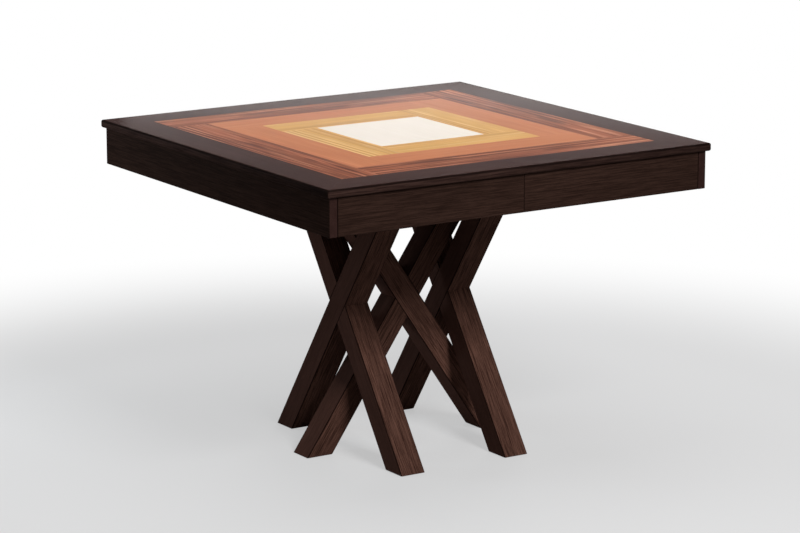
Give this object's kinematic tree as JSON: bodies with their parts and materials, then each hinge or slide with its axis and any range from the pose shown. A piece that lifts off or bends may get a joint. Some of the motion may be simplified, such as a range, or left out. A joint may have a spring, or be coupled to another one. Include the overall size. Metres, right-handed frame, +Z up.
{
  "type": "extending dining table",
  "caption": "Square extending dining table with a banded veneer top that parts at the middle on geared slides, over a base of crossed, interlaced beams.",
  "frame": {"origin": "on the floor under the middle of the closed top", "axes": "+Z up, +X the way the right half slides out, +Y towards the rear, with the seam of the top along Y"},
  "size_m": [1.056, 1.056, 0.762],
  "materials": {
    "base_wood": "satin dark brown stain",
    "glide_plastic": "matte black",
    "plate_board": "matte dark stain",
    "screw_steel": "zinc plated",
    "rail_beech": "waxed",
    "gear_brass": "machined",
    "bright_steel": "machined",
    "leaf_wood": "satin dark brown stain",
    "core_board": "raw board",
    "border_wood": "satin espresso",
    "rosewood": "satin red-brown veneer",
    "cherry": "satin orange-brown veneer",
    "gold_wood": "satin golden streaked veneer",
    "ivory_wood": "satin ivory veneer",
    "apron_wood": "satin espresso"
  },
  "bodies": {
    "pedestal": {"left_cross_beam_a": "base_wood", "left_cross_beam_b": "base_wood", "right_cross_beam_a": "base_wood", "right_cross_beam_b": "base_wood", "middle_cross_beam_a": "base_wood", "middle_cross_beam_b": "base_wood", "foot_glides": "glide_plastic", "mounting_plate": "plate_board", "plate_screws": "screw_steel", "front_fixed_rail": "rail_beech", "rear_fixed_rail": "rail_beech", "fixed_rail_screws": "screw_steel", "pinion_axles": "bright_steel", "leaf_rests": "rail_beech", "leaf_lower_half": "leaf_wood", "leaf_upper_half": "leaf_wood", "leaf_hinges": "gear_brass"},
    "left_half": {"left_top_core": "core_board", "left_top_border": "border_wood", "left_rosewood_band": "rosewood", "left_cherry_band": "cherry", "left_gold_band": "gold_wood", "left_centre_panel": "ivory_wood", "left_side_apron": "apron_wood", "left_front_apron": "apron_wood", "left_rear_apron": "apron_wood", "left_corner_blocks": "rail_beech", "left_front_rail": "rail_beech", "left_rear_rail": "rail_beech", "left_racks": "bright_steel", "left_screws": "screw_steel", "latch_pivots": "bright_steel"},
    "right_half": {"right_top_core": "core_board", "right_top_border": "border_wood", "right_rosewood_band": "rosewood", "right_cherry_band": "cherry", "right_gold_band": "gold_wood", "right_centre_panel": "ivory_wood", "right_side_apron": "apron_wood", "right_front_apron": "apron_wood", "right_rear_apron": "apron_wood", "right_corner_blocks": "rail_beech", "right_front_rail": "rail_beech", "right_rear_rail": "rail_beech", "right_racks": "bright_steel", "right_screws": "screw_steel", "latch_pegs": "bright_steel", "alignment_pins": "rail_beech"},
    "front_gear": {"front_pinion": "gear_brass"},
    "rear_gear": {"rear_pinion": "gear_brass"},
    "front_latch_arm": {"front_latch": "bright_steel"},
    "rear_latch_arm": {"rear_latch": "bright_steel"}
  },
  "joints": [
    {"name": "left_half_slide", "type": "slide", "parent": "pedestal", "child": "left_half", "axis": [-1, 0, 0], "range_m": [0, 0.228]},
    {"name": "right_half_slide", "type": "slide", "parent": "pedestal", "child": "right_half", "axis": [1, 0, 0], "range_m": [0, 0.228]},
    {"name": "front_pinion_spin", "type": "hinge", "parent": "pedestal", "child": "front_gear", "pos_m": [0, -0.3075, 0.729], "axis": [0, 0, 1], "range_deg": [0, 728]},
    {"name": "rear_pinion_spin", "type": "hinge", "parent": "pedestal", "child": "rear_gear", "pos_m": [0, 0.3075, 0.729], "axis": [0, 0, 1], "range_deg": [0, 728]},
    {"name": "front_latch_swing", "type": "hinge", "parent": "left_half", "child": "front_latch_arm", "pos_m": [-0.04, -0.395, 0.735], "axis": [0, 0, 1], "range_deg": [0, 35]},
    {"name": "rear_latch_swing", "type": "hinge", "parent": "left_half", "child": "rear_latch_arm", "pos_m": [-0.04, 0.395, 0.735], "axis": [0, 0, -1], "range_deg": [0, 35]}
  ],
  "couplings": [
    {"joint": "right_half_slide", "follows": "left_half_slide", "ratio": 1},
    {"joint": "front_pinion_spin", "follows": "left_half_slide", "rad_per_m": 55.556},
    {"joint": "rear_pinion_spin", "follows": "left_half_slide", "rad_per_m": 55.556}
  ]
}
